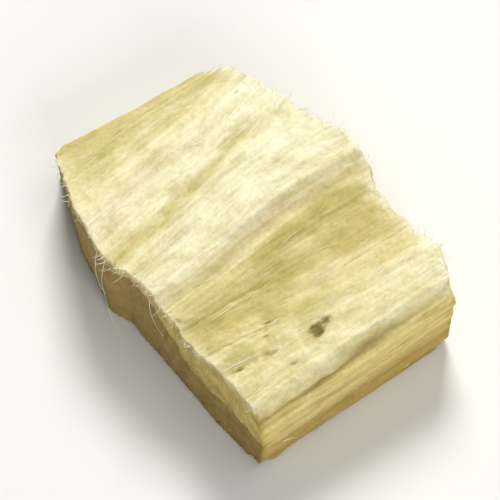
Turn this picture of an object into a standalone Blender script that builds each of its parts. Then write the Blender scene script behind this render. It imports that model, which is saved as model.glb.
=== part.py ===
"""One chopped chunk of peeled, dried root.

A short block of woody root, split lengthwise and chopped across the grain. The upper
face is the ribbed outer face of the root, the two ends are knife cuts, the two sides
and the underside are split faces. X runs across the grain, Y runs along it and Z is
up. The chunk rests on its flat split underside.
"""
import math

import bmesh
import bpy
from mathutils import Vector

MM = 0.001

# Lines that run along the grain of the outer face, from the -X side to the +X side.
# Each line holds x and height at the front end, then x and height at the back end,
# in millimetres.
GRAIN_LINES = (
    (-5.45, 2.45, -4.95, 2.65),   # upper edge of the -X side
    (-3.30, 3.58, -4.10, 3.62),   # where the side facet meets rib A
    (-1.90, 3.92, -3.00, 4.05),   # crest of rib A
    (-0.45, 3.76, -1.80, 4.03),   # groove between ribs A and B
    (0.65, 4.05, 0.50, 4.35),     # crest of rib B
    (1.30, 3.95, 1.12, 4.27),     # shoulder of rib B
    (1.80, 3.68, 1.75, 3.93),     # foot of rib B's steep step
    (3.05, 3.40, 3.40, 3.50),     # valley floor
    (3.80, 3.48, 4.25, 3.64),     # foot of rib C
    (4.70, 3.70, 5.00, 3.86),     # crest of rib C
    (6.25, 3.48, 6.15, 3.66),     # shoulder of the +X side
    (6.70, 3.15, 6.58, 3.33),     # upper edge of the +X side
)

# How rounded the outer face runs between those lines: 0 is flat facets, 1 is waves.
RIB_ROUNDNESS = 0.6

# Plan outline of the two knife-cut ends, as x and y in millimetres.
FRONT_OUTLINE = (
    (-5.45, -4.30),
    (-2.70, -5.30),
    (-0.50, -5.62),
    (0.25, -5.25),
    (3.60, -5.00),
    (6.85, -4.62),
)
BACK_OUTLINE = (
    (-4.95, 1.70),
    (-2.55, 2.33),
    (-1.45, 2.70),
    (0.15, 3.30),
    (1.65, 3.38),
    (2.20, 3.12),
    (3.70, 3.22),
    (5.20, 3.52),
    (6.75, 3.00),
)

# How far the foot of each face stands inside (+) or outside (-) its upper edge. The front
# cut leans from one to the other, from the -X side to the +X side.
FRONT_UNDERCUT = (0.45 * MM, -0.15 * MM)
BACK_UNDERCUT = 0.20 * MM
LEFT_UNDERCUT = -0.25 * MM

# The +X side, as share of the height and distance outside the upper edge: a shallow
# groove just under the edge, then a ledge that stands proud.
RIGHT_SIDE = (
    (0.0, 0.15 * MM),
    (0.35, 0.15 * MM),
    (0.72, 0.15 * MM),
    (0.88, -0.02 * MM),
    (1.0, 0.0),
)

EDGE_RADIUS = 0.11 * MM
EDGE_SEGMENTS = 2
BEVEL_ANGLE = math.radians(42.0)
SHARP_ANGLE = math.radians(38.0)

STEPS_PER_SPAN = 3
ROWS = 14

ROOT_COLOUR = (0.780, 0.680, 0.400, 1.0)
ROOT_ROUGHNESS = 0.82


def lerp(start, end, share):
    """Straight blend from start to end."""
    return start + (end - start) * share


def outline_y(outline, x_mm):
    """Y of a plan outline at a place across the grain, in millimetres."""
    if x_mm <= outline[0][0]:
        return outline[0][1]
    for (x_a, y_a), (x_b, y_b) in zip(outline, outline[1:]):
        if x_mm <= x_b:
            return lerp(y_a, y_b, (x_mm - x_a) / (x_b - x_a))
    return outline[-1][1]


def rib_height(before, start, end, after, share):
    """Height between two grain lines, part flat and part a rounded Catmull-Rom curve."""
    slope_start = (end - before) * 0.5
    slope_end = (after - start) * 0.5
    s2 = share * share
    s3 = s2 * share
    rounded = (
        (2.0 * s3 - 3.0 * s2 + 1.0) * start
        + (s3 - 2.0 * s2 + share) * slope_start
        + (3.0 * s2 - 2.0 * s3) * end
        + (s3 - s2) * slope_end
    )
    return lerp(lerp(start, end, share), rounded, RIB_ROUNDNESS)


def side_offset(level):
    """How far the +X side stands outside its upper edge at a share of the height."""
    return min((abs(height - level), offset) for height, offset in RIGHT_SIDE)[1]


def outer_face_point(column, row):
    """Point of the ribbed outer face for one column and row of its grid."""
    along = row / ROWS
    span = min(column // STEPS_PER_SPAN, len(GRAIN_LINES) - 2)
    share = (column - span * STEPS_PER_SPAN) / STEPS_PER_SPAN
    places = []
    for index in (span - 1, span, span + 1, span + 2):
        line = GRAIN_LINES[max(0, min(index, len(GRAIN_LINES) - 1))]
        places.append((lerp(line[0], line[2], along), lerp(line[1], line[3], along)))
    x_mm = lerp(places[1][0], places[2][0], share)
    z_mm = rib_height(*(place[1] for place in places), share)
    y_mm = lerp(outline_y(FRONT_OUTLINE, x_mm), outline_y(BACK_OUTLINE, x_mm), along)
    return Vector((x_mm, y_mm, z_mm)) * MM


def clear_scene():
    """Remove every object of the opening scene."""
    for item in list(bpy.data.objects):
        bpy.data.objects.remove(item, do_unlink=True)


def root_material():
    """Pale cream dried root."""
    material = bpy.data.materials.new("peeled_dried_root")
    material.use_nodes = True
    shader = material.node_tree.nodes["Principled BSDF"]
    shader.inputs["Base Color"].default_value = ROOT_COLOUR
    shader.inputs["Roughness"].default_value = ROOT_ROUGHNESS
    shader.inputs["Metallic"].default_value = 0.0
    return material


def root_mesh():
    """The whole chunk as one closed body."""
    columns = (len(GRAIN_LINES) - 1) * STEPS_PER_SPAN
    bm = bmesh.new()
    bmesh.ops.create_grid(bm, x_segments=columns, y_segments=ROWS, size=0.5)

    # The flat grid gives the underside; its extruded copy gives the outer face.
    extruded = bmesh.ops.extrude_face_region(bm, geom=bm.faces[:])
    raised = [item for item in extruded["geom"] if isinstance(item, bmesh.types.BMVert)]
    bmesh.ops.translate(bm, verts=raised, vec=(0.0, 0.0, 1.0))

    # Cut the walls into levels.
    for level, _ in RIGHT_SIDE[1:-1]:
        bmesh.ops.bisect_plane(
            bm,
            geom=bm.verts[:] + bm.edges[:] + bm.faces[:],
            plane_co=(0.0, 0.0, level),
            plane_no=(0.0, 0.0, 1.0),
            dist=1e-6,
        )

    # The underside is one flat face.
    underside = [face for face in bm.faces if all(vert.co.z < 0.001 for vert in face.verts)]
    bmesh.ops.dissolve_faces(bm, faces=underside, use_verts=False)
    loose = [vert for vert in bm.verts if not vert.link_faces]
    bmesh.ops.delete(bm, geom=loose, context="VERTS")

    # Move every vertex of the unit block to its place on the chunk.
    for vert in bm.verts:
        column = round((vert.co.x + 0.5) * columns)
        row = round((vert.co.y + 0.5) * ROWS)
        level = vert.co.z
        point = outer_face_point(column, row)
        across = column / columns
        along = row / ROWS
        below = 1.0 - level
        point.x += lerp(LEFT_UNDERCUT * below, side_offset(level), across)
        point.y += lerp(lerp(*FRONT_UNDERCUT, across), -BACK_UNDERCUT, along) * below
        point.z *= level
        vert.co = point

    bmesh.ops.recalc_face_normals(bm, faces=bm.faces[:])

    # Stand the chunk centred over the origin with its underside at zero height.
    low = Vector(min(vert.co[axis] for vert in bm.verts) for axis in range(3))
    high = Vector(max(vert.co[axis] for vert in bm.verts) for axis in range(3))
    centre = (low + high) * 0.5
    bmesh.ops.translate(bm, verts=bm.verts[:], vec=(-centre.x, -centre.y, -low.z))

    mesh = bpy.data.meshes.new("root_piece")
    bm.to_mesh(mesh)
    bm.free()
    for polygon in mesh.polygons:
        polygon.use_smooth = True
    mesh.set_sharp_from_angle(angle=SHARP_ANGLE)
    return mesh


def build():
    """Make the chunk in its own collection."""
    clear_scene()
    collection = bpy.data.collections.new("marshmallow_root")
    bpy.context.scene.collection.children.link(collection)
    chunk = bpy.data.objects.new("root_piece", root_mesh())
    chunk.data.materials.append(root_material())
    collection.objects.link(chunk)

    # Worn edges all round.
    worn = chunk.modifiers.new("worn_edges", "BEVEL")
    worn.width = EDGE_RADIUS
    worn.segments = EDGE_SEGMENTS
    worn.limit_method = "ANGLE"
    worn.angle_limit = BEVEL_ANGLE
    worn.use_clamp_overlap = False


build()
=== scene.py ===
import math

import bmesh
import bpy
import numpy as np
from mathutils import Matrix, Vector
from mathutils.bvhtree import BVHTree


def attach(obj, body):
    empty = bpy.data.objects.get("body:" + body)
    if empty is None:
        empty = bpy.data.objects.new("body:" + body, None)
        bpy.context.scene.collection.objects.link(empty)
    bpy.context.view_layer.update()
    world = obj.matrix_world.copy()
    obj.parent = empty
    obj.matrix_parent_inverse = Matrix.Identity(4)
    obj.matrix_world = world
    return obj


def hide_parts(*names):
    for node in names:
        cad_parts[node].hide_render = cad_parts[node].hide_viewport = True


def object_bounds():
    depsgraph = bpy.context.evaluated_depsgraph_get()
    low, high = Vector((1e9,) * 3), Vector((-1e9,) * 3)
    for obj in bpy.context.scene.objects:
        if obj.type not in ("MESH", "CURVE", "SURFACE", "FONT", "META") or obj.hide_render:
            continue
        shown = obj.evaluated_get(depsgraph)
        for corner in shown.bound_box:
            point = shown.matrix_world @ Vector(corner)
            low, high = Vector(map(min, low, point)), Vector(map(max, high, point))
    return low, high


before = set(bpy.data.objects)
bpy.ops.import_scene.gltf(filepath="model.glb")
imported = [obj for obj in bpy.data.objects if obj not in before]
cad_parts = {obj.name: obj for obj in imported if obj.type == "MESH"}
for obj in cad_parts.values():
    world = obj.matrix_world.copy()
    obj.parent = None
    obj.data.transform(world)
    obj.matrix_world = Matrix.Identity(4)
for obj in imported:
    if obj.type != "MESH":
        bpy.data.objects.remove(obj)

cad_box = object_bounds()

MM = 0.001

# The chunk's sizes are in millimetres. X runs across the grain, Y along it, Z up. They are
# measured from one corner of the cut, and this is the shift to the middle of the chunk.
MIDDLE_X = 0.575
MIDDLE_Y = -1.053

# Lines along the grain of the ribbed outer face: x and height at the front end, then
# x and height at the back end, then how tan the line is at the front and at the back.
GRAIN_LINES = np.array((
    (-5.45, 2.45, -4.95, 2.65, 1.00, 1.00),   # upper edge of the -X side
    (-3.30, 3.58, -4.10, 3.62, 0.52, 0.40),   # where the side facet meets rib A
    (-1.90, 3.92, -3.00, 4.05, 0.12, 0.00),   # crest of rib A
    (-0.45, 3.76, -1.80, 4.03, 0.25, 0.05),   # groove between ribs A and B
    (0.65, 4.05, 0.50, 4.35, 0.15, 0.00),     # crest of rib B
    (1.30, 3.95, 1.12, 4.27, 0.20, 0.22),     # shoulder of rib B
    (1.80, 3.68, 1.75, 3.93, 0.62, 0.60),     # foot of rib B's steep step
    (3.05, 3.40, 3.40, 3.50, 1.00, 0.98),     # valley floor
    (3.80, 3.48, 4.25, 3.64, 0.78, 0.52),     # foot of rib C
    (4.70, 3.70, 5.00, 3.86, 0.80, 0.12),     # crest of rib C
    (6.25, 3.48, 6.15, 3.66, 0.55, 0.16),     # shoulder of the +X side
    (6.70, 3.15, 6.58, 3.33, 0.60, 0.70),     # upper edge of the +X side
))
RIB_ROUNDNESS = 0.6
# The lines that make rib B's crest and step wind from side to side: how far, in how much
# of the chunk's length, and how far towards -X their middle lies.
RIB_B = slice(4, 7)
WIND_REACH = 0.27
WIND_LENGTH = 1.35
WIND_SHIFT = 0.10

# Plan outline of the two knife cuts, as x and y.
FRONT_CUT = np.array((
    (-5.45, -4.30), (-2.70, -5.30), (-0.50, -5.62), (0.25, -5.25), (3.60, -5.00), (6.85, -4.62),
))
BACK_CUT = np.array((
    (-4.95, 1.70), (-2.55, 2.33), (-1.45, 2.70), (0.15, 3.30), (1.65, 3.38),
    (2.20, 3.12), (3.70, 3.22), (5.20, 3.52), (6.75, 3.00),
))
# How far the foot of each face stands inside (+) or outside (-) its upper edge. The front
# cut leans from one to the other, from the -X side to the +X side.
FRONT_UNDERCUT = (0.45, -0.15)
BACK_UNDERCUT = 0.20
LEFT_UNDERCUT = -0.25
# The +X side, as share of the height and distance outside the upper edge: a groove just
# under the edge, then a ledge that stands proud.
RIGHT_SIDE = np.array(((0.0, 0.15), (0.35, 0.15), (0.72, 0.15), (0.88, -0.02), (1.0, 0.0)))
GROOVE_LEVEL = 0.885
LEDGE_LEVEL = 0.76
LOWER_SEAM_LEVEL = 0.52

# How thick the outer layer (bast) over the wood is at places across the grain.
BAST_DEPTH = np.array(((-5.3, 0.50), (0.5, 0.70), (4.5, 1.95), (6.7, 1.70)))
# The middle of the whole root lay here, below the chunk, and the rays point to it.
PITH_X = 0.8
PITH_Z = -3.4
# Widths round the pith are measured at this distance from it.
ARC_RADIUS = 6.5

# Cells of the fine mesh: narrow across the grain, where the fibres lie side by side.
COLUMNS = 400
ROWS = 118
LEVELS = 38
UNDERSIDE_COLUMNS = 64
UNDERSIDE_ROWS = 34
# How strongly the cells crowd towards the edges.
CROWD_ACROSS = 0.25
CROWD_ALONG = 0.55
CROWD_UP = 0.55
# Widths of the strips that are eased along the upper edges and along the other edges.
UPPER_EASE = 0.12
OTHER_EASE = 0.14
EASE_PASSES = 5
# How far past its own edge the relief of each face fades out.
TOP_FADE = 0.30
WALL_FADE = 0.16
FOOT_FADE = 0.20
# Closer than this counts as on the face.
TOUCHING = 1e-5


# Small sums

def lattice(ix, iy, seed):
    """Scattered but repeatable values from 0 to 1 at whole-number places.

    The large odd numbers only mix the bits of the place and the seed.
    """
    mixed = (ix * 374761393 + iy * 668265263 + seed * 974634777) & 0xFFFFFFFF
    mixed = ((mixed ^ (mixed >> 13)) * 1274126177) & 0xFFFFFFFF
    return ((mixed ^ (mixed >> 16)) & 0xFFFF) / 65535.0


def noise(x, y, seed):
    """Smooth noise from 0 to 1 whose features are one unit wide."""
    x, y = np.broadcast_arrays(x, y)
    ix = np.floor(x).astype(np.int64)
    iy = np.floor(y).astype(np.int64)
    fx = x - ix
    fy = y - iy
    fx = fx * fx * (3.0 - 2.0 * fx)
    fy = fy * fy * (3.0 - 2.0 * fy)
    near = lattice(ix, iy, seed) * (1.0 - fx) + lattice(ix + 1, iy, seed) * fx
    far = lattice(ix, iy + 1, seed) * (1.0 - fx) + lattice(ix + 1, iy + 1, seed) * fx
    return near * (1.0 - fy) + far * fy


def rough(x, y, seed):
    """Four layers of noise, each half as wide and half as strong, from 0 to 1."""
    total = 0.0
    full = 0.0
    for layer in range(4):
        scale = 2.0 ** layer
        total = total + noise(x * scale, y * scale, seed + layer * 17) / scale
        full += 1.0 / scale
    return total / full


def strands(x, y, seed):
    """Rounded strands side by side, parted by sharp furrows, from 0 to 1."""
    return np.abs(2.0 * noise(x, y, seed) - 1.0) ** 0.8


def step(low, high, value):
    """Smooth rise from 0 at low to 1 at high."""
    share = np.clip((value - low) / (high - low), 0.0, 1.0)
    return share * share * (3.0 - 2.0 * share)


def bell(value, middle, width):
    """Smooth hump of height 1 round a middle."""
    return np.exp(-(((value - middle) / width) ** 2))


# Shape of the chunk

def unit_block():
    """A unit block of fine cells with a flat, more coarsely cut underside."""
    bm = bmesh.new()
    bmesh.ops.create_grid(bm, x_segments=COLUMNS, y_segments=ROWS, size=0.5)
    bmesh.ops.translate(bm, verts=bm.verts[:], vec=(0.5, 0.5, 1.0))
    # The walls, one row of cells after another down to the foot.
    rim = [edge for edge in bm.edges if edge.is_boundary]
    for level in range(LEVELS - 1, -1, -1):
        lower = bmesh.ops.extrude_edge_only(bm, edges=rim)["geom"]
        rim = [item for item in lower if isinstance(item, bmesh.types.BMEdge) and item.is_boundary]
        for item in lower:
            if isinstance(item, bmesh.types.BMVert):
                item.co.z = level / LEVELS
    underside = bmesh.ops.edgeloop_fill(bm, edges=rim)["faces"][0]

    # Cut the underside into cells, longer along the grain.
    cut = [underside] + underside.edges[:] + underside.verts[:]
    for count, axis in ((UNDERSIDE_COLUMNS, 0), (UNDERSIDE_ROWS, 1)):
        for line in range(1, count):
            place = Vector((0.0, 0.0, 0.0))
            place[axis] = line / count
            normal = Vector((0.0, 0.0, 0.0))
            normal[axis] = 1.0
            cut = bmesh.ops.bisect_plane(
                bm, geom=cut, dist=1e-7, plane_co=place, plane_no=normal
            )["geom"]
    bmesh.ops.recalc_face_normals(bm, faces=bm.faces[:])
    mesh = bpy.data.meshes.new("root_chunk")
    bm.to_mesh(mesh)
    bm.free()
    return mesh


def crowd_to_ends(share, strength):
    """Move evenly spaced shares towards 0 and 1, where the edges need finer cells."""
    return share - strength * np.sin(2.0 * math.pi * share) / (2.0 * math.pi)


def outer_face(u, v):
    """The outer face at shares u across and v along the grain.

    Gives its x, y and height, then what its fibres keep along their whole length, which is
    their place across and how tan they are, then the chunk's length there.
    """
    front_x, front_z, back_x, back_z, front_tan, back_tan = GRAIN_LINES.T[:, :, None]
    lines_x = front_x * (1.0 - v) + back_x * v
    lines_z = front_z * (1.0 - v) + back_z * v
    lines_tan = front_tan * (1.0 - v) + back_tan * v
    lines_x[RIB_B] += WIND_REACH * np.cos(2.0 * math.pi * v / WIND_LENGTH) - WIND_SHIFT
    count = len(GRAIN_LINES)
    x = lines_x[0] + (lines_x[-1] - lines_x[0]) * u
    span = np.clip((lines_x[:-1] <= x).sum(axis=0) - 1, 0, count - 2)
    every = np.arange(len(x))
    x_a = lines_x[span, every]
    x_b = lines_x[span + 1, every]
    share = np.clip((x - x_a) / (x_b - x_a), 0.0, 1.0)
    z_before = lines_z[np.maximum(span - 1, 0), every]
    z_a = lines_z[span, every]
    z_b = lines_z[span + 1, every]
    z_after = lines_z[np.minimum(span + 2, count - 1), every]
    s2 = share * share
    s3 = s2 * share
    curved = (
        (2.0 * s3 - 3.0 * s2 + 1.0) * z_a
        + (s3 - 2.0 * s2 + share) * (z_b - z_before) * 0.5
        + (3.0 * s2 - 2.0 * s3) * z_b
        + (s3 - s2) * (z_after - z_a) * 0.5
    )
    flat = z_a + (z_b - z_a) * share
    z = flat + (curved - flat) * RIB_ROUNDNESS
    front = np.interp(x, FRONT_CUT[:, 0], FRONT_CUT[:, 1])
    back = np.interp(x, BACK_CUT[:, 0], BACK_CUT[:, 1])
    y = front + (back - front) * v
    middle_x = ((front_x + back_x) * 0.5).ravel()
    across = middle_x[span] + (middle_x[span + 1] - middle_x[span]) * share
    tan = lines_tan[span, every] * (1.0 - share) + lines_tan[span + 1, every] * share
    return x, y, z, across, tan, back - front


# Strips of bast that tore off the outer face: place across and along the grain, half
# width, length (negative runs towards the front) and depth.
TORN_STRIPS = (
    (-3.55, -4.9, 0.22, 5.2, 0.03),
    (-2.30, -5.5, 0.10, 2.1, 0.06),
    (0.10, -5.4, 0.09, 3.0, 0.06),
    (0.25, 3.3, 0.11, -3.6, 0.04),
    (2.10, -5.2, 0.20, 4.6, 0.03),
    (2.45, 3.2, 0.17, -4.8, 0.05),
    (2.98, -5.0, 0.13, 3.3, 0.06),
    (3.80, 3.2, 0.10, -2.7, 0.06),
    (4.35, -4.9, 0.18, 2.2, 0.07),
    (5.25, -4.8, 0.16, 1.7, 0.06),
    (-4.60, 1.8, 0.14, -3.9, 0.05),
)

# Small dark pits: place, half width, half length, depth.
PITS = (
    (5.36, -1.50, 0.17, 0.28, 0.17),
    (5.25, -1.02, 0.13, 0.24, 0.11),
    (4.27, -2.55, 0.06, 0.16, 0.07),
    (4.66, -2.95, 0.05, 0.14, 0.06),
    (5.15, -4.30, 0.07, 0.16, 0.06),
    (3.75, -3.55, 0.05, 0.12, 0.05),
    (5.85, -2.75, 0.05, 0.14, 0.05),
    (-2.74, 1.40, 0.08, 0.12, 0.06),
    (2.75, -1.10, 0.04, 0.20, 0.05),
    (0.78, -0.73, 0.06, 0.13, 0.04),
    (-1.23, -2.43, 0.06, 0.15, 0.04),
)


def torn_ledges(across, along):
    """Depth left where thin strips of bast tore off, sharp at the sides and one end."""
    depth = 0.0
    for number, (x, y, half_width, length, deep) in enumerate(TORN_STRIPS):
        run = (along - y) * math.copysign(1.0, length)
        wander = (noise(along / 3.5, 0.0, 300 + number) - 0.5) * 0.07
        frayed = (noise(across / 0.07, along / 0.5, 330 + number) - 0.5) * 0.06
        half = half_width * (1.0 - 0.55 * np.clip(run / abs(length), 0.0, 1.0))
        aside = np.abs(across - x - wander) + frayed
        inside = 1.0 - step(half - 0.03, half + 0.03, aside)
        ragged_end = abs(length) + (noise(across / 0.05, 0.0, 350 + number) - 0.5) * 0.9
        inside = inside * (1.0 - step(ragged_end - 0.12, ragged_end, run))
        depth = depth + deep * inside
    return depth


def pit_depth(across, along):
    """Depth of the small pits, with torn outlines."""
    depth = 0.0
    uneven = (rough(across / 0.10, along / 0.22, 401) - 0.5) * 2.0
    for x, y, half_width, half_length, deep in PITS:
        away = np.hypot((across - x) / half_width, (along - y) / half_length)
        depth = np.maximum(depth, deep * (1.0 - step(0.10, 1.40, away + 0.7 * uneven)))
    return depth


# The groove between ribs A and B: place along, then place across.
GROOVE_PATH = np.array((
    (-5.3, -1.02), (-4.5, -1.08), (-3.5, -0.92), (-2.4, -1.03), (-1.0, -1.22), (-0.1, -1.43),
    (0.8, -1.30),
))


def rib_groove(across, along):
    """How deep the narrow groove between ribs A and B is, fading towards the back."""
    wander = (noise(along / 1.9, 0.0, 61) - 0.5) * 0.06
    breaks = 0.45 + 0.55 * step(0.35, 0.60, noise(along / 0.9, 0.0, 62))
    middle = np.interp(along, GROOVE_PATH[:, 0], GROOVE_PATH[:, 1])
    return bell(across + wander, middle, 0.21) * step(1.6, 0.3, along) * breaks


def crest_ridge(across, along):
    """A thin raised line just before rib B's step, broken here and there."""
    wander = (noise(along / 1.6, 0.0, 63) - 0.5) * 0.12
    whole = step(0.25, 0.50, noise(along / 1.3, 0.0, 64))
    return bell(across + wander, 1.20, 0.15) * whole


def winding(across, along):
    """Place across the grain along fibres that wind a little instead of running straight."""
    sway = (noise(across / 2.2, along / 4.5, 11) - 0.5) * 0.34
    return across + sway + (noise(across / 0.6, along / 1.8, 12) - 0.5) * 0.08


def outer_face_relief(across, along):
    """Fine relief of the peeled outer face in millimetres, most of it downwards.

    Then its furrows and its cords from 0 to 1, and how worn it is.
    """
    place = winding(across, along)
    furrows = strands(place / 0.70, along / 9.0, 13)
    cords = strands(place / 0.26, along / 3.8, 14)
    fibres = 1.0 - strands(place / 0.11, along / 2.2, 15)
    flakes = step(0.52, 0.60, noise(place / 0.15, along / 0.9, 18))
    lumps = rough(place / 0.85, along / 2.1, 20) - 0.5
    crumbs = rough(place / 0.30, along / 0.40, 16) - 0.5
    mealy = rough(across / 0.13, along / 0.17, 19) - 0.5
    # The face is rougher and more broken on rib C near the front.
    worn = bell(across, 4.6, 1.7) * bell(along, -2.9, 1.9)
    whole = 1.0 - 0.5 * worn
    relief = 0.048 * furrows + (0.020 * cords + 0.010 * fibres) * whole + 0.010 * flakes
    relief = relief + 0.17 * lumps + crumbs * (0.055 + 0.100 * worn)
    relief = relief + mealy * (0.022 + 0.055 * worn)
    relief = relief - torn_ledges(across, along) - pit_depth(across, along)
    relief = relief - 0.16 * rib_groove(across, along) + 0.10 * crest_ridge(across, along)
    return relief - 0.060, furrows, cords, worn


def tan_share(across, along, tan):
    """How tan the bast is, with streaks and clouds over what each grain line has."""
    place = winding(across, along)
    streak = noise(place / 0.32, along / 3.4, 43) - 0.5
    cloud = rough(place / 1.1, along / 2.0, 44) - 0.5
    tone = tan + (0.20 * streak + 0.85 * cloud) * (0.35 + 0.65 * tan)
    return np.clip(tone + 0.68 * rib_groove(across, along), 0.0, 1.0)


# Soft stains of the outer face, and painted shade along rib B's step: place, half width,
# half length, then how olive (above zero) or how rosy (below zero). The rosy marks along
# the step, near x 1.7 to 1.85, are painted shade.
STAINS_AND_STEP_SHADE = (
    (-1.48, 0.10, 0.26, 0.85, 1.00),
    (-1.34, -1.66, 0.28, 0.90, 0.70),
    (-0.82, -3.33, 0.34, 0.90, 0.85),
    (-4.20, -0.10, 0.40, 1.00, 0.60),
    (-4.25, 1.00, 0.40, 0.80, 0.65),
    (-4.70, -2.60, 0.40, 0.90, 0.40),
    (-0.95, -1.20, 0.34, 1.20, 0.55),
    (2.50, -0.90, 0.55, 1.20, 0.80),
    (2.95, -2.60, 0.42, 1.00, 0.50),
    (2.80, 1.20, 0.42, 1.10, 0.45),
    (4.12, -2.35, 0.24, 0.45, 0.60),
    (4.90, -4.05, 0.34, 0.50, 0.95),
    (4.15, -4.45, 0.34, 0.55, 0.60),
    (2.90, -4.00, 0.40, 0.80, 0.80),
    (1.95, -4.20, 0.30, 0.90, 0.70),
    (5.36, -1.40, 0.34, 0.70, 0.60),
    (0.10, -4.50, 0.32, 0.80, 0.35),
    # Painted shade along rib B's step: rosy-grey marks where the step faces away from the light.
    (1.75, -3.90, 0.50, 1.20, -0.80),
    (1.85, -1.30, 0.42, 1.40, -0.60),
    (1.75, 1.60, 0.34, 1.20, -0.40),
    (3.75, -0.10, 0.45, 1.20, -0.70),
    (4.45, 0.40, 0.30, 0.90, -0.40),
    (5.30, -3.00, 0.32, 0.80, -0.40),
    (-2.45, -2.60, 0.45, 1.10, -0.35),
    (2.40, -4.40, 0.40, 0.60, -0.50),
    (2.15, -0.60, 0.28, 3.00, 0.70),
    # More painted shade along rib B's step.
    (1.72, -0.30, 0.28, 2.60, -0.65),
    (2.12, 2.00, 0.25, 1.00, 0.75),
    (4.65, -1.10, 0.34, 1.30, 0.90),
    (4.62, -3.40, 0.30, 0.90, 0.60),
    (3.25, -1.10, 0.24, 1.20, 0.60),
    (4.45, 1.60, 0.20, 1.20, 0.40),
    (-2.60, -3.90, 0.30, 0.90, -0.55),
    (-4.05, -3.40, 0.34, 1.00, 0.60),
    (-4.20, -1.50, 0.34, 0.90, 0.45),
)


def stain_and_step_shade_tone(across, along):
    """Olive above zero and rosy below it, in the stains and in clouds between them; along rib B's
    step the rosy is painted shade.
    """
    place = winding(across, along)
    tone = (rough(place / 0.60, along / 1.2, 46) - 0.5) * 1.6
    ragged = (rough(place / 0.22, along / 0.55, 47) - 0.5) * 1.0
    for x, y, half_width, half_length, hue in STAINS_AND_STEP_SHADE:
        away = np.hypot((across - x) / half_width, (along - y) / half_length) + ragged
        tone = tone + hue * (1.0 - step(0.2, 1.7, away))
    return np.clip(tone, -1.0, 1.0)


def cut_end_relief(x, z, inward, seed):
    """Relief of a knife cut across the grain, then its furrows from 0 to 1.

    The bast shows fibre ends in layers, and the wood shows pores between its rays.
    """
    ring = np.hypot(x - PITH_X, z - PITH_Z)
    arc = np.arctan2(x - PITH_X, z - PITH_Z) * ARC_RADIUS
    in_bast = 1.0 - step(-0.08, 0.08, inward)
    bundles = step(0.30, 0.70, noise(arc / 0.15, ring / 0.11, seed))
    tufts = noise(arc / 0.30, ring / 0.5, seed + 1)
    layers = strands(arc / 2.2, ring / 0.20, seed + 2)
    rays = strands(arc / 0.20, ring / 2.6, seed + 3)
    pores = step(0.74, 0.86, noise(arc / 0.085, ring / 0.085, seed + 4))
    # The knife left long scratches at a slant.
    knife = noise((x * 0.35 + z * 0.94) / 0.09, (x * 0.94 - z * 0.35) / 4.0, seed + 5) - 0.5
    waves = rough(x / 1.6, z / 1.2, seed + 6) - 0.5
    bast = 0.035 * bundles + 0.04 * tufts + 0.02 * layers - 0.045
    wood = 0.030 * rays - 0.030 * pores - 0.015
    relief = bast * in_bast + wood * (1.0 - in_bast) + 0.03 * knife + 0.10 * waves
    furrows = 1.0 - layers * in_bast - rays * (1.0 - in_bast)
    return relief - 0.04 * bell(inward, 0.0, 0.07), furrows


def split_side_relief(along, z, seed):
    """Relief of a side split along the grain, then the furrows between its fibres."""
    wander = (noise(along / 3.0, z / 0.8, seed) - 0.5) * 0.20
    height = z + wander
    ledges = step(0.42, 0.50, noise(height / 0.55, along / 6.0, seed + 1))
    cords = strands(height / 0.22, along / 4.5, seed + 2)
    fibres = strands(height / 0.10, along / 2.2, seed + 3)
    crumbs = rough(along / 0.5, z / 0.35, seed + 4) - 0.5
    relief = 0.060 * ledges + 0.050 * cords + 0.020 * fibres + 0.04 * crumbs - 0.075
    return relief, 1.0 - cords


def underside_relief(x, y):
    """Height of the split underside above its high places, all of it upwards."""
    wander = (noise(x / 1.4, y / 3.0, 701) - 0.5) * 0.5
    ledges = step(0.50, 0.62, noise((x + wander) / 0.9, y / 7.0, 702))
    cords = strands((x + wander) / 0.35, y / 3.8, 703)
    return 0.10 * ledges + 0.05 * (1.0 - cords)


# Corners and edges that broke off: centre, reach and depth.
CHIPS = (
    (-5.50, -4.35, 2.45, 0.45, 0.12),
    (6.75, -4.65, 3.10, 0.45, 0.13),
    (6.60, 3.05, 3.25, 0.50, 0.15),
    (-0.45, -5.65, 3.65, 0.40, 0.16),
    (2.55, -5.10, 3.45, 0.45, 0.10),
    (-5.00, 1.70, 2.65, 0.50, 0.12),
    (2.00, 3.25, 3.90, 0.45, 0.12),
    (4.30, 3.30, 3.70, 0.35, 0.10),
    (-1.50, 2.70, 3.95, 0.40, 0.10),
    (6.50, 0.60, 3.20, 0.35, 0.07),
    (6.60, -2.20, 3.15, 0.40, 0.08),
    (6.75, -4.75, 0.00, 0.60, 0.16),
    (6.60, 2.80, 0.00, 0.50, 0.15),
)
# The point inside the chunk that the broken surface is pulled towards.
CHIP_AIM = np.array((0.575, -1.05, 2.0))


def ease_edges(mesh, eased):
    """Smooth the marked points of a mesh, a few times over."""
    bm = bmesh.new()
    bm.from_mesh(mesh)
    bm.verts.ensure_lookup_table()
    edge_verts = [bm.verts[index] for index in np.flatnonzero(eased)]
    for _ in range(EASE_PASSES):
        bmesh.ops.smooth_vert(
            bm, verts=edge_verts, factor=0.5,
            use_axis_x=True, use_axis_y=True, use_axis_z=True,
        )
    bm.to_mesh(mesh)
    bm.free()


def break_corners(place):
    """Pull the surface inwards where corners and edges broke off."""
    jagged = (rough(place[:, 0] / 0.3, (place[:, 1] + place[:, 2]) / 0.3, 801) - 0.5) * 0.5
    for x, y, z, reach, deep in CHIPS:
        distance = np.linalg.norm(place - np.array((x, y, z)), axis=1)
        pull = 1.0 - step(0.25, 1.0, distance / reach + jagged)
        inwards = CHIP_AIM - place
        inwards /= np.linalg.norm(inwards, axis=1)[:, None]
        place += inwards * (pull * deep)[:, None]


def write_layer(mesh, name, values):
    """Store one value, or one vector, for each point of the mesh."""
    kind, field = ("FLOAT", "value") if values.ndim == 1 else ("FLOAT_VECTOR", "vector")
    layer = mesh.attributes.new(name, kind, "POINT")
    layer.data.foreach_set(field, np.ascontiguousarray(values, dtype=np.float32).ravel())


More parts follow.
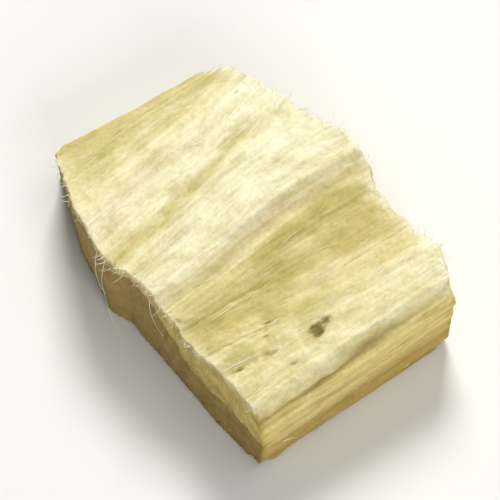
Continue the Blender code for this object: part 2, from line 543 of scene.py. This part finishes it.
def chunk_mesh():
    """The whole chunk: a block of fine cells set on the ribbed shape, then its relief."""
    mesh = unit_block()
    flat = np.empty(len(mesh.vertices) * 3)
    mesh.vertices.foreach_get("co", flat)
    unit = flat.reshape(-1, 3)
    u = crowd_to_ends(unit[:, 0], CROWD_ACROSS)
    v = crowd_to_ends(unit[:, 1], CROWD_ALONG)
    w = crowd_to_ends(unit[:, 2], CROWD_UP)
    x, y, top, across, tan, length = outer_face(u, v)
    below = 1.0 - w
    # Towards the back, the groove and the ledge of the +X side climb to its upper edge.
    climb = 0.20 * v - 0.012 + (noise(y / 2.2, 0.0, 71) - 0.5) * 0.05
    side_level = w - climb * step(0.0, 0.3, w)
    side = np.interp(side_level, RIGHT_SIDE[:, 0], RIGHT_SIDE[:, 1])
    x = x + below * LEFT_UNDERCUT * (1.0 - u) + side * u
    front_undercut = FRONT_UNDERCUT[0] + (FRONT_UNDERCUT[1] - FRONT_UNDERCUT[0]) * u
    y = y + below * (front_undercut * (1.0 - v) - BACK_UNDERCUT * v)
    z = w * top
    mesh.vertices.foreach_set("co", np.stack((x, y, z), axis=1).ravel())

    # Distances from each face, and the strips along the block's sharp edges.
    width = GRAIN_LINES[-1, 0] - GRAIN_LINES[0, 0]
    skin = below * top
    from_end = np.minimum(v, 1.0 - v) * length
    from_side = np.minimum(u, 1.0 - u) * width
    from_rim = np.minimum(from_end, from_side)
    on_end = np.minimum(unit[:, 1], 1.0 - unit[:, 1]) < TOUCHING
    on_side = np.minimum(unit[:, 0], 1.0 - unit[:, 0]) < TOUCHING
    ease_edges(mesh, np.logical_or.reduce((
        (on_end | on_side) & (skin < UPPER_EASE),
        (on_end | on_side) & (z < OTHER_EASE),
        on_end & (from_side < OTHER_EASE),
        on_side & (from_end < OTHER_EASE),
        (skin < TOUCHING) & (from_rim < UPPER_EASE),
        (z < TOUCHING) & (from_rim < OTHER_EASE),
    )))
    mesh.vertices.foreach_get("co", flat)
    place = flat.reshape(-1, 3)

    # How strongly each face's relief acts at a point: full on the face, fading beyond it.
    act_top = bell(skin, 0.0, TOP_FADE)
    act_front = bell(v * length, 0.0, WALL_FADE)
    act_back = bell((1.0 - v) * length, 0.0, WALL_FADE)
    act_left = bell(u * width, 0.0, WALL_FADE)
    act_right = bell((1.0 - u) * width, 0.0, WALL_FADE)
    act_under = bell(z, 0.0, FOOT_FADE)

    top_relief, furrows, cords, worn = outer_face_relief(across, y)
    # Under the outer face, fibre bundles end at uneven lengths along both knife cuts.
    uneven_front = 0.04 + 0.10 * noise(across / 1.4, 0.0, 520)
    ragged_front = (rough(across / 0.45, skin / 0.4, 521) - 0.5) * uneven_front
    uneven_back = 0.08 + 0.20 * noise(across / 1.1, 0.0, 570)
    ragged_back = (rough(across / 0.50, skin / 0.4, 571) - 0.5) * uneven_back
    brim = bell(skin, 0.0, 0.6)
    # How far in from the seam between bast and wood.
    inward = skin - np.interp(across, BAST_DEPTH[:, 0], BAST_DEPTH[:, 1])
    front_relief, front_furrows = cut_end_relief(x, z, inward, 501)
    back_relief, back_furrows = cut_end_relief(x, z, inward, 551)
    left_relief, left_furrows = split_side_relief(y, z, 601)
    right_relief, right_furrows = split_side_relief(y, z, 651)
    side_groove = 0.09 * bell(side_level, GROOVE_LEVEL, 0.022)

    place[:, 2] += top_relief * act_top
    place[:, 1] -= (front_relief + ragged_front * brim) * act_front
    place[:, 1] += (back_relief + ragged_back * brim) * act_back
    place[:, 0] -= left_relief * act_left
    place[:, 0] += (right_relief - side_groove) * act_right
    place[:, 2] += underside_relief(x, y) * act_under
    break_corners(place)
    place[:, 2] = np.maximum(place[:, 2], 0.0)
    place[:, 0] -= MIDDLE_X
    place[:, 1] -= MIDDLE_Y
    mesh.vertices.foreach_set("co", (place * MM).ravel())

    # What the material reads at each point.
    outer = np.where(skin < TOUCHING, 1.0, bell(skin, 0.0, 0.10))
    inner = 1.0 - 0.8 * outer
    ends = np.maximum(act_front, act_back)
    sides = np.maximum(act_left, act_right)
    wood = step(-0.15, 0.10, inward)
    seam = np.maximum.reduce((
        0.8 * bell(inward, 0.0, 0.10) * ends,
        # In the +X side's groove the seam's dark line is partly painted shade.
        bell(side_level, GROOVE_LEVEL, 0.040) * act_right,
        0.5 * bell(side_level, LOWER_SEAM_LEVEL, 0.02) * act_right,
        0.6 * bell(skin, 0.95, 0.10) * act_left,
    ))
    # The bast frays white along the upper edge of both cuts, most at the back.
    at_back = v > 0.5
    brink = np.where(at_back, 1.0, 0.5) * bell(skin, 0.0, 0.25) * bell(from_end, 0.0, 0.30)
    fray = brink * (0.5 + 0.8 * noise(across / 0.25, skin / 0.2, 530))
    # Painted shade on the front cut: the cut coats act in full there, and at half strength on the
    # back cut, which stays paler.
    front_cut_shade = np.where(at_back, 0.5, 1.0)
    furrow = np.maximum.reduce((
        front_furrows * act_front, back_furrows * act_back,
        left_furrows * act_left, right_furrows * act_right,
    ))
    for name, values in (
        ("grain", np.stack((winding(across, y), y, skin), axis=1)),
        # High on the crests of the strands and low in their furrows: it guides painted highlight
        # and painted shade.
        ("crest", np.clip(0.6 * furrows + 0.4 * cords, 0.0, 1.0)),
        ("pit", np.clip(pit_depth(across, y) / 0.10, 0.0, 1.0) * act_top),
        ("cut", ends * inner * front_cut_shade),
        ("side", sides * inner),
        # Wood low on the split sides: its brown is partly its own colour and partly painted shade,
        # darker towards the bottom.
        ("side_wood_and_low_shade", sides * step(-0.4, 0.8, inward)),
        ("fray", np.clip(fray, 0.0, 1.0)),
        ("seam", seam),
        # Painted highlight on the ledge of the +X side.
        ("ledge", bell(side_level, LEDGE_LEVEL, 0.075) * act_right),
        ("wood", wood),
        ("cut_wood", ends * wood * front_cut_shade),
        # Furrows of the cut ends and split sides, which guide painted shade.
        ("furrow", furrow * inner),
        ("worn", worn * act_top),
        ("tan", tan_share(across, y, tan)),
        ("stain_and_step_shade", stain_and_step_shade_tone(across, y) * (1.0 - inner)),
    ):
        write_layer(mesh, name, values)
    mesh.polygons.foreach_set("use_smooth", np.ones(len(mesh.polygons), dtype=bool))
    mesh.update()
    return mesh


# Materials

def colour(code):
    """sRGB hex code to a linear colour."""
    levels = [int(code[place:place + 2], 16) / 255.0 for place in (0, 2, 4)]
    return tuple(
        (level / 12.92 if level <= 0.04045 else ((level + 0.055) / 1.055) ** 2.4)
        for level in levels
    ) + (1.0,)


def add(tree, kind, values=None, links=None, stops=(), **settings):
    """Add one node with its settings, socket values, incoming links and ramp colours."""
    made = tree.nodes.new(kind)
    for name, value in settings.items():
        setattr(made, name, value)
    for name, value in (values or {}).items():
        made.inputs[name].default_value = value
    for name, source in (links or {}).items():
        tree.links.new(source, made.inputs[name])
    for number, (spot, code) in enumerate(stops):
        marks = made.color_ramp.elements
        mark = marks[number] if number < 2 else marks.new(spot)
        mark.position = spot
        mark.color = colour(code)
    return made


# Sockets of a colour mix: the colour underneath, the colour laid over it, and the result.
UNDER = 6
OVER = 7
MIXED = 2


def peeled_root_material():
    """Dried root, peeled, split and knife-cut.

    Starchy white bast over yellower wood: a dull, dusty cream with long darker streaks,
    painted shade in the furrows and painted highlight on the crests of the fibres, and a
    soft glow where light enters the thin fibres. Painted shade also darkens the front cut,
    the lower split sides and rib B's step, and a painted highlight lightens the +X ledge.
    """
    material = bpy.data.materials.new("dried_root_peeled_and_cut")
    material.use_nodes = True
    tree = material.node_tree
    shader = tree.nodes["Principled BSDF"]
    grain = add(tree, "ShaderNodeAttribute", attribute_name="grain").outputs["Vector"]
    at = {}
    for name in (
        "tan", "stain_and_step_shade", "crest", "pit", "wood", "cut", "cut_wood", "side", "side_wood_and_low_shade", "ledge",
        "seam", "worn", "fray", "furrow",
    ):
        at[name] = add(tree, "ShaderNodeAttribute", attribute_name=name).outputs["Fac"]

    # Noise stretched along the fibres: width across and length along, in millimetres. Bast
    # fibres lie in bundles about 0.1 mm wide. Starch grains are 0.02 mm, too fine to show,
    # so the meal is drawn as coarse as it needs to show.
    for name, width, length, detail, shift in (
        ("bundle", 0.45, 3.20, 3.0, 0.0),
        ("thread", 0.14, 1.80, 2.0, 20.0),
        ("hair", 0.07, 1.20, 2.0, 40.0),
        ("patch", 0.50, 0.85, 3.0, 60.0),
        ("meal", 0.12, 0.16, 2.0, 80.0),
        ("fleck", 0.10, 0.40, 3.0, 100.0),
        ("speckle", 0.34, 0.40, 3.0, 120.0),
    ):
        sized = add(
            tree, "ShaderNodeMapping",
            {"Location": (shift, shift, shift), "Scale": (1.0 / width, 1.0 / length, 1.0 / width)},
            {"Vector": grain},
        )
        at[name] = add(
            tree, "ShaderNodeTexNoise", {"Scale": 1.0, "Detail": detail, "Roughness": 0.55},
            {"Vector": sized.outputs["Vector"]},
        ).outputs["Fac"]
    # Where rib C is worn, its starchy face shows darker speckles.
    at["worn_meal"] = add(
        tree, "ShaderNodeMath", links={0: at["speckle"], 1: at["worn"]}, operation="MULTIPLY"
    ).outputs[0]

    # Bast from white to tan, and the yellower wood under it.
    root = add(
        tree, "ShaderNodeValToRGB", links={"Fac": at["tan"]},
        stops=((0.0, "FFFEEC"), (0.30, "FBF7D8"), (0.65, "EFE5B6"), (1.0, "D9CC92")),
    ).outputs["Color"]

    # Coats laid one over the other: the value that guides each, where it starts and where
    # it is full, how strong it is then, and its colour.
    for guide, low, high, strength, code in (
        ("wood", 0.0, 1.0, 1.0, "F2E5A8"),
        ("stain_and_step_shade", 0.08, 0.80, 0.62, "BFB56C"),
        # Rosy over the rosy stains; along rib B's step this coat is painted shade.
        ("stain_and_step_shade", -0.08, -0.80, 0.52, "DCC8A6"),
        # Painted highlight on the crests of the fibre strands and painted shade in the furrows
        # between them, over the fibres' own streaks.
        ("crest", 0.45, 0.95, 0.25, "FFFEEA"),
        ("crest", 0.20, 0.02, 0.20, "CFC284"),
        ("side", 0.0, 1.0, 0.75, "EFDB92"),
        # Browner wood low on the split sides: partly the wood's own colour and partly painted
        # shade, darker towards the bottom.
        ("side_wood_and_low_shade", 0.0, 1.0, 0.70, "B4944A"),
        # Painted highlight: the ledge below the +X side's groove is painted lighter, as where it
        # catches the light.
        ("ledge", 0.0, 1.0, 0.90, "FFF3B6"),
        # Cut ends, paler in the bast and browner in the wood. On the front cut these two coats act
        # twice as strongly as on the back, which is painted shade.
        ("cut", 0.0, 1.0, 0.85, "DFC87A"),
        ("cut_wood", 0.0, 1.0, 0.80, "9E813C"),
        # Painted shade in the furrows between fibres, layers and rays on the cut ends and split
        # sides.
        ("furrow", 0.55, 0.95, 0.32, "97793A"),
        # The dark seam between bast and wood; in the +X side's groove it is partly painted shade.
        ("seam", 0.0, 1.0, 0.70, "9A803A"),
        ("fray", 0.0, 1.0, 0.85, "FFFCF0"),
        ("fleck", 0.72, 0.80, 0.25, "BCA868"),
        ("worn_meal", 0.44, 0.62, 0.52, "C4B26C"),
        ("pit", 0.1, 0.9, 0.85, "857335"),
    ):
        share = add(
            tree, "ShaderNodeMapRange",
            {"From Min": low, "From Max": high, "To Min": 0.0, "To Max": strength},
            {"Value": at[guide]}, clamp=True,
        ).outputs["Result"]
        root = add(
            tree, "ShaderNodeMix", {OVER: colour(code)}, {"Factor": share, UNDER: root},
            data_type="RGBA",
        ).outputs[MIXED]

    # Light fibres and light meal that stand out of slightly darker ground.
    for guide, stops in (
        ("bundle", ((0.34, "EFECDF"), (0.50, "FAF9F3"), (0.64, "FFFFFF"))),
        ("thread", ((0.40, "F7F5EC"), (0.56, "FAF9F3"), (0.68, "FFFFFF"))),
        ("hair", ((0.42, "FAF8F3"), (0.56, "FBFAF6"), (0.70, "FFFFFF"))),
        ("patch", ((0.34, "EEECDF"), (0.48, "F9F8F1"), (0.62, "FFFFFF"))),
        ("meal", ((0.34, "F2F0E6"), (0.50, "FAF9F4"), (0.66, "FFFFFF"))),
    ):
        lines = add(tree, "ShaderNodeValToRGB", links={"Fac": at[guide]}, stops=stops)
        root = add(
            tree, "ShaderNodeMix", {"Factor": 1.0}, {UNDER: root, OVER: lines.outputs["Color"]},
            data_type="RGBA", blend_type="MULTIPLY",
        ).outputs[MIXED]
    tree.links.new(root, shader.inputs["Base Color"])

    # Relief too fine for the mesh: loose fibre ends, and starchy dust over them.
    threads = add(
        tree, "ShaderNodeBump", {"Strength": 0.6, "Distance": 0.00003}, {"Height": at["hair"]}
    ).outputs["Normal"]
    dusty = add(
        tree, "ShaderNodeBump", {"Strength": 0.5, "Distance": 0.00002},
        {"Height": at["meal"], "Normal": threads},
    ).outputs["Normal"]
    tree.links.new(dusty, shader.inputs["Normal"])
    dull = add(
        tree, "ShaderNodeMapRange",
        {"From Min": 0.3, "From Max": 0.7, "To Min": 0.90, "To Max": 0.76},
        {"Value": at["bundle"]},
    ).outputs["Result"]
    tree.links.new(dull, shader.inputs["Roughness"])
    shader.inputs["IOR"].default_value = 1.5
    shader.inputs["Specular IOR Level"].default_value = 0.30
    shader.inputs["Subsurface Weight"].default_value = 0.15
    shader.inputs["Subsurface Radius"].default_value = (1.0, 0.75, 0.40)
    shader.inputs["Subsurface Scale"].default_value = 0.25 * MM
    shader.inputs["Sheen Weight"].default_value = 0.08
    shader.inputs["Sheen Roughness"].default_value = 0.5
    return material


def bast_fibre_material():
    """Loose bast fibre: pale, dry and a little see-through, like raw hemp."""
    material = bpy.data.materials.new("raw_bast_fibre")
    material.use_nodes = True
    tree = material.node_tree
    shader = tree.nodes["Principled BSDF"]
    places = add(tree, "ShaderNodeTexCoord").outputs["Object"]
    # Some fibres are browner than others, in patches about 1 mm wide.
    shade = add(
        tree, "ShaderNodeTexNoise", {"Scale": 900.0, "Detail": 1.0}, {"Vector": places}
    ).outputs["Fac"]
    tone = add(
        tree, "ShaderNodeValToRGB", links={"Fac": shade},
        stops=((0.35, "EADFB8"), (0.65, "FFFBEA")),
    ).outputs["Color"]
    tree.links.new(tone, shader.inputs["Base Color"])
    shader.inputs["Roughness"].default_value = 0.62
    shader.inputs["IOR"].default_value = 1.53
    shader.inputs["Subsurface Weight"].default_value = 0.3
    shader.inputs["Subsurface Radius"].default_value = (1.0, 0.8, 0.5)
    shader.inputs["Subsurface Scale"].default_value = 0.1 * MM
    return material


# Pieces

def add_piece(name, mesh, material):
    """Put a finished mesh in the scene, on the one body, with its material."""
    mesh.materials.append(material)
    piece = bpy.data.objects.new(name, mesh)
    bpy.context.scene.collection.objects.link(piece)
    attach(piece, "root")
    return piece


chunk = add_piece("root_chunk", chunk_mesh(), peeled_root_material())
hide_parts("root_piece")


# Loose bast fibres, in millimetres from the chunk's middle

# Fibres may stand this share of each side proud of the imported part.
PROUD = 0.02
# Half the thickness of the thinnest and the thickest fibre, like real bast fibre.
THIN = 0.009
THICK = 0.018
LYING_FIBRES = 46
SIDE_THREADS = 14
# Far enough out to look back at the chunk from any side.
OUTSIDE = 9.0

dice = np.random.default_rng(20)
skin_tree = BVHTree.FromObject(chunk, bpy.context.evaluated_depsgraph_get())


def height_at(x, y):
    """Height of the chunk's upper surface, or None past its edge."""
    hit = skin_tree.ray_cast(Vector((x, y, OUTSIDE)) * MM, Vector((0.0, 0.0, -1.0)))[0]
    return None if hit is None else hit.z / MM


def side_at(y, z, outward):
    """X of the chunk's +X side (outward 1) or -X side (outward -1)."""
    start = Vector((outward * OUTSIDE, y, z)) * MM
    return skin_tree.ray_cast(start, Vector((-outward, 0.0, 0.0)))[0].x / MM


def lying_fibre(x, y, length, lift):
    """A fibre that lies on the outer face along the grain and lifts at its free end."""
    path = []
    lean = dice.normal(0.0, 0.10)
    curl = dice.uniform(-0.60, 0.60)
    for share in np.linspace(0.0, 1.0, 8):
        run = share * length
        px = x + lean * run + curl * share * share * abs(length) * 0.3
        top = height_at(px, y + run)
        if top is None:
            break
        height = top - 0.015 + 0.02 * math.sin(share * math.pi) + lift * share ** 3
        path.append((px, y + run, height))
    return path


def springing_fibre(start, heading, length, curl, points=8):
    """A fibre that springs from an edge and curls as it goes."""
    path = [np.array(start)]
    heading = np.array(heading, dtype=float)
    heading /= np.linalg.norm(heading)
    twist = np.array(curl, dtype=float)
    for _ in range(points - 1):
        path.append(path[-1] + heading * length / (points - 1))
        heading = heading + twist + dice.normal(0.0, 0.36 / points, 3)
        heading /= np.linalg.norm(heading)
    return path


def tuft(start, heading, count, length, spread):
    """A few fibres that spring from one spot in nearly one direction."""
    paths = []
    curl = dice.normal(0.0, 0.20, 3)
    for _ in range(count):
        paths.append(springing_fibre(
            np.array(start) + dice.normal(0.0, 0.05, 3),
            np.array(heading) + dice.normal(0.0, spread, 3),
            length * dice.uniform(0.5, 1.1),
            curl + dice.normal(0.0, 0.12, 3),
        ))
    return paths


def edge_y(cut, x):
    """Y of a knife cut at X, from the chunk's middle."""
    return np.interp(x + MIDDLE_X, cut[:, 0], cut[:, 1]) - MIDDLE_Y


def fibre_paths():
    """Every loose fibre: those lying on the face, then those at the edges."""
    paths = []
    for _ in range(LYING_FIBRES):
        x = dice.uniform(-5.4, 5.8)
        y = dice.uniform(-3.6, 3.4)
        length = dice.uniform(0.3, 1.3) * dice.choice((-1.0, 1.0))
        paths.append(lying_fibre(x, y, length, dice.uniform(0.0, 0.12)))
    # Short fuzz along both knife cuts.
    for cut, outward, count, longest in ((BACK_CUT, 1.0, 260, 0.42), (FRONT_CUT, -1.0, 70, 0.32)):
        for _ in range(count):
            x = dice.uniform(-5.5, 6.0)
            y = edge_y(cut, x) - outward * dice.uniform(0.06, 0.16)
            top = height_at(x, y)
            if top is None:
                continue
            paths.append(springing_fibre(
                (x, y, top - 0.04 - 0.5 * dice.random() ** 3),
                (dice.normal(0.0, 0.5), outward, dice.normal(0.1, 0.4)),
                dice.uniform(0.10, longest),
                dice.normal(0.0, 0.13, 3), 6,
            ))
    # Tufts torn up along the back cut, most between the -X corner and rib B.
    for x, count, length in (
        (-4.15, 4, 0.9), (-3.55, 5, 1.1), (-3.05, 3, 0.8), (-2.40, 5, 1.0), (-1.85, 3, 0.7),
        (-1.10, 4, 0.9), (-0.45, 3, 0.8), (0.75, 3, 0.6), (2.30, 2, 0.6), (4.60, 3, 0.7),
    ):
        y = edge_y(BACK_CUT, x)
        top = height_at(x, y - 0.3)
        heading = (dice.normal(-0.3, 0.35), 0.9, dice.normal(0.15, 0.2))
        paths += tuft((x, y - 0.25, top - 0.12), heading, count, length, 0.28)
    # Tufts along the front cut.
    for x, count, length in (
        (-5.20, 2, 0.5), (-3.90, 3, 0.6), (-2.90, 2, 0.5), (-1.35, 4, 0.8), (-0.60, 3, 0.6),
        (1.20, 2, 0.5), (2.70, 3, 0.5), (4.40, 2, 0.45), (5.60, 2, 0.5),
    ):
        y = edge_y(FRONT_CUT, x)
        top = height_at(x, y + 0.3)
        heading = (dice.normal(0.0, 0.3), -0.8, dice.normal(-0.4, 0.2))
        paths += tuft((x, y + 0.25, top - 0.15), heading, count, length, 0.25)
    # Long fibres that hang down over the front cut and swing towards +X.
    for x, length, sway in ((-1.75, 3.0, 0.00), (-1.25, 3.6, 0.05), (0.70, 1.6, 0.10)):
        y = edge_y(FRONT_CUT, x)
        paths.append(springing_fibre(
            (x, y + 0.08, 3.55), (0.12, -0.28, -0.9), length, (sway, 0.045, 0.0), 12
        ))
    # Short threads along the two split sides, most near the edges and close to the skin.
    for _ in range(SIDE_THREADS):
        outward = 1.0 if dice.random() < 0.6 else -1.0
        y = dice.choice((-1.0, 1.0)) * dice.uniform(1.2, 3.0) - 0.3 * (outward < 0.0)
        z = dice.uniform(0.3, 2.4)
        paths.append(springing_fibre(
            (side_at(y, z, outward) - outward * 0.03, y, z),
            (outward * dice.uniform(0.08, 0.30), dice.choice((-1.0, 1.0)), dice.normal(0.0, 0.10)),
            dice.uniform(0.25, 0.70),
            dice.normal(0.0, 0.05, 3) - np.array((outward * 0.03, 0.0, 0.0)), 6,
        ))
    return [path for path in paths if len(path) >= 3]


def fibre_mesh():
    """All loose fibres as thin closed tubes that thin out towards the tip."""
    low = np.array(cad_box[0]) / MM
    high = np.array(cad_box[1]) / MM
    room = (high - low) * PROUD
    curve = bpy.data.curves.new("loose_fibres", "CURVE")
    curve.dimensions = "3D"
    # Each point's radius is then in millimetres.
    curve.bevel_depth = 1.0 * MM
    curve.bevel_resolution = 0
    curve.use_fill_caps = True
    for path in fibre_paths():
        inside = np.clip(np.array(path), low - room, high + room)
        inside[:, 2] = np.maximum(inside[:, 2], 0.03)
        thick = dice.uniform(THIN, THICK)
        spline = curve.splines.new("POLY")
        spline.points.add(len(inside) - 1)
        for number, (point, spot) in enumerate(zip(spline.points, inside)):
            point.co = (*(spot * MM), 1.0)
            point.radius = thick * (1.0 - 0.65 * number / (len(inside) - 1))
    guide = bpy.data.objects.new("loose_fibres_guide", curve)
    bpy.context.scene.collection.objects.link(guide)
    graph = bpy.context.evaluated_depsgraph_get()
    mesh = bpy.data.meshes.new_from_object(guide.evaluated_get(graph))
    bpy.data.objects.remove(guide)
    bpy.data.curves.remove(curve)
    bm = bmesh.new()
    bm.from_mesh(mesh)
    bmesh.ops.remove_doubles(bm, verts=bm.verts[:], dist=1e-7)
    bmesh.ops.recalc_face_normals(bm, faces=bm.faces[:])
    bm.to_mesh(mesh)
    bm.free()
    mesh.materials.clear()
    mesh.polygons.foreach_set("use_smooth", np.ones(len(mesh.polygons), dtype=bool))
    return mesh


add_piece("loose_bast_fibres", fibre_mesh(), bast_fibre_material())


# Floor, lights and camera

def floor_material():
    """Matt white paper: nearly white, no pattern big enough to see."""
    material = bpy.data.materials.new("white_paper_matt")
    material.use_nodes = True
    shader = material.node_tree.nodes["Principled BSDF"]
    shader.inputs["Base Color"].default_value = colour("E6E4DF")
    shader.inputs["Roughness"].default_value = 0.9
    shader.inputs["Specular IOR Level"].default_value = 0.2
    return material


floor_bm = bmesh.new()
bmesh.ops.create_grid(floor_bm, x_segments=1, y_segments=1, size=1.5)
floor_mesh = bpy.data.meshes.new("floor")
floor_bm.to_mesh(floor_mesh)
floor_bm.free()
floor_mesh.materials.append(floor_material())
floor = bpy.data.objects.new("floor", floor_mesh)
bpy.context.scene.collection.objects.link(floor)

CAMERA_AZIMUTH = math.radians(54.5)
CAMERA_ELEVATION = math.radians(62.0)
CAMERA_DISTANCE = 0.182
CAMERA_LENS = 400.0
# The point at the middle of the picture, right and up of the chunk's middle as seen.
LOOK_RIGHT = 0.30 * MM
LOOK_UP = 0.62 * MM


def aim(thing, place, target):
    """Put a light or the camera at a place, turned towards a target."""
    thing.location = place
    thing.rotation_mode = "QUATERNION"
    thing.rotation_quaternion = (target - place).to_track_quat("-Z", "Y")


back = Vector((
    math.sin(CAMERA_AZIMUTH) * math.cos(CAMERA_ELEVATION),
    -math.cos(CAMERA_AZIMUTH) * math.cos(CAMERA_ELEVATION),
    math.sin(CAMERA_ELEVATION),
))
right = Vector((math.cos(CAMERA_AZIMUTH), math.sin(CAMERA_AZIMUTH), 0.0))
up = back.cross(right)
target = right * LOOK_RIGHT + up * LOOK_UP
camera_data = bpy.data.cameras.new("camera")
camera_data.lens = CAMERA_LENS
camera_data.sensor_width = 36.0
camera_data.clip_start = 0.01
camera_data.clip_end = 10.0
camera = bpy.data.objects.new("camera", camera_data)
bpy.context.scene.collection.objects.link(camera)
aim(camera, target + back * CAMERA_DISTANCE, target)
bpy.context.scene.camera = camera


def softbox(name, place, size, power):
    """Square soft white light that looks at the chunk."""
    data = bpy.data.lights.new(name, "AREA")
    data.shape = "SQUARE"
    data.size = size
    data.energy = power
    light = bpy.data.objects.new(name, data)
    bpy.context.scene.collection.objects.link(light)
    aim(light, Vector(place), Vector((0.0, 0.0, 0.002)))
    return light


softbox("key_softbox", (-0.215, 0.155, 0.27), 0.13, 1.39)
softbox("top_softbox", (0.06, 0.10, 0.36), 0.25, 0.26)
softbox("side_softbox", (0.27, -0.05, 0.16), 0.16, 0.46)

world = bpy.data.worlds.new("studio")
world.use_nodes = True
world.node_tree.nodes["Background"].inputs["Color"].default_value = colour("FFFFFF")
world.node_tree.nodes["Background"].inputs["Strength"].default_value = 0.20
bpy.context.scene.world = world
bpy.context.scene.view_settings.view_transform = "Standard"
